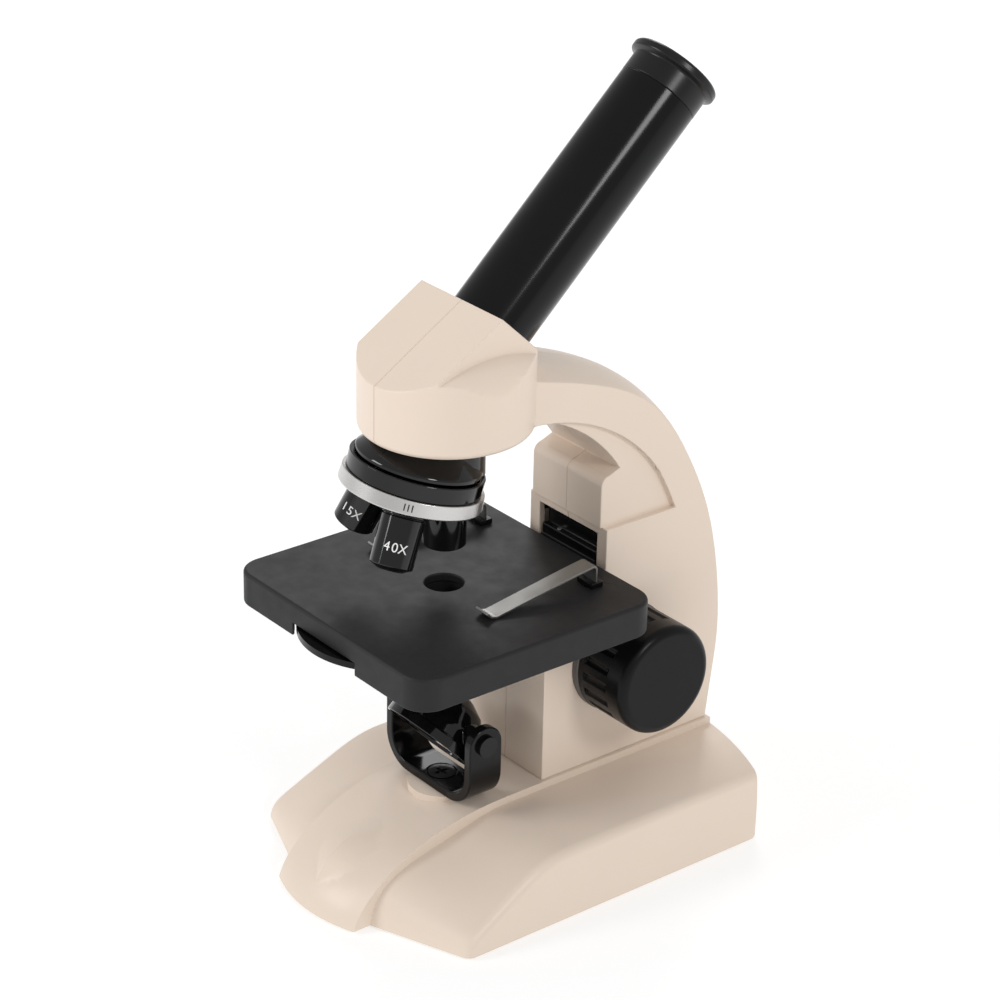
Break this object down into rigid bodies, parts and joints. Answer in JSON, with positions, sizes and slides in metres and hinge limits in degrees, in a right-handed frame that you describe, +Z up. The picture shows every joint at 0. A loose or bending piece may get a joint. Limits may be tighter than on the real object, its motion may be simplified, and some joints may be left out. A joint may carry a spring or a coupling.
{
  "type": "microscope",
  "caption": "Upright monocular student microscope with a turning objective nosepiece, sliding stage with clips, focus knobs and a tilting lamp and mirror on a swivel fork.",
  "frame": {"origin": "The middle of the whole part's footprint, on the plane the feet stand on.", "axes": "+Z up, +Y from the front of the base back to the arm, +X to the right-hand focus knob."},
  "size_m": [0.111, 0.1616, 0.268],
  "materials": {
    "cream": "smooth satin-gloss cream moulding",
    "tube_black": "gloss black lacquer",
    "stage_grey": "matte dark grey crackle paint",
    "black_plastic": "smooth semi-gloss black",
    "grey_plastic": "matte grey",
    "steel": "plain machined steel",
    "bright": "bright plated",
    "satin_silver": "satin turned aluminium",
    "brass": "turned brass",
    "rubber": "soft black rubber",
    "glass": "polished optical glass",
    "mirror": "front-silvered mirror",
    "led": "clear warm-white LED resin on a white card",
    "cell_wrap": "plain dark printed sleeve"
  },
  "bodies": {
    "stand": {"base_shell": "cream", "base_plate": "grey_plastic", "base_feet": "rubber", "base_plate_screws": "steel", "battery_tray": "black_plastic", "battery_door": "grey_plastic", "battery_door_screw": "steel", "batteries": "cell_wrap", "battery_contacts": "bright", "arm_shell_right": "cream", "arm_shell_left": "cream", "arm_shell_screws": "steel", "column_mount_screws": "steel", "guide_rods": "steel", "pinion_bushes": "brass", "friction_collars": "grey_plastic", "prism": "glass", "prism_cell": "stage_grey", "eyepiece_tube": "tube_black", "nosepiece_mount": "tube_black", "nosepiece_mount_screws": "steel", "nosepiece_pivot_screw": "steel", "click_spring": "steel", "fork_pivot_screw": "steel"},
    "stage": {"stage_plate": "stage_grey", "stage_bracket": "black_plastic", "stage_bracket_screws": "steel", "focus_rack": "brass", "rack_screws": "steel", "diaphragm_pivot_screw": "steel"},
    "diaphragm": {"diaphragm_disc": "tube_black"},
    "clip_right": {"clip_post_right": "black_plastic", "stage_clip_right": "bright"},
    "clip_left": {"clip_post_left": "black_plastic", "stage_clip_left": "bright"},
    "nosepiece": {"nosepiece_disc": "tube_black", "nosepiece_ring": "satin_silver", "objective_low": "tube_black", "objective_medium": "tube_black", "objective_high": "tube_black", "lens_low": "glass", "lens_medium": "glass", "lens_high": "glass"},
    "eyepiece": {"eyepiece_barrel": "tube_black", "eyepiece_cap": "black_plastic", "eye_lens": "glass", "field_lens": "glass"},
    "focus": {"pinion_shaft": "steel", "knob_right": "black_plastic", "knob_left": "black_plastic"},
    "fork": {"lamp_fork": "tube_black"},
    "lamp": {"lamp_housing": "black_plastic", "mirror_glass": "mirror", "lamp_lens": "glass", "lamp_led": "led", "lamp_pivot_pins": "steel"},
    "switch": {"lamp_switch": "black_plastic"}
  },
  "joints": [
    {"name": "stage_slide", "type": "slide", "parent": "stand", "child": "stage", "axis": [0, 0, 1], "range_m": [-0.007, 0.007]},
    {"name": "knob_spin", "type": "hinge", "parent": "stand", "child": "focus", "pos_m": [0, 0.03206, 0.067], "axis": [1, 0, 0], "range_deg": [-84, 84]},
    {"name": "nosepiece_spin", "type": "hinge", "parent": "stand", "child": "nosepiece", "pos_m": [0, -0.02544, 0.1822], "axis": [0.056, 0.2527, 0.9659], "continuous": true},
    {"name": "diaphragm_spin", "type": "hinge", "parent": "stage", "child": "diaphragm", "pos_m": [0, -0.04744, 0.093], "axis": [0, 0, 1], "continuous": true},
    {"name": "clip_right_swivel", "type": "hinge", "parent": "stage", "child": "clip_right", "pos_m": [0.0285, 0.01156, 0.1026], "axis": [0, 0, 1], "range_deg": [-30, 60]},
    {"name": "clip_left_swivel", "type": "hinge", "parent": "stage", "child": "clip_left", "pos_m": [-0.0285, 0.01156, 0.1026], "axis": [0, 0, 1], "range_deg": [-60, 30]},
    {"name": "eyepiece_slide", "type": "slide", "parent": "stand", "child": "eyepiece", "axis": [0, 0.729, 0.6845], "range_m": [0, 0.033]},
    {"name": "fork_swivel", "type": "hinge", "parent": "stand", "child": "fork", "pos_m": [0, -0.02544, 0.03], "axis": [0, 0, 1], "range_deg": [-90, 90]},
    {"name": "lamp_tilt", "type": "hinge", "parent": "fork", "child": "lamp", "pos_m": [0, -0.02494, 0.0525], "axis": [1, 0, 0], "range_deg": [-150, 70]},
    {"name": "switch_slide", "type": "slide", "parent": "stand", "child": "switch", "axis": [1, 0, 0], "range_m": [0, 0.003]}
  ],
  "couplings": [
    {"joint": "knob_spin", "follows": "stage_slide", "rad_per_m": 208.33}
  ]
}
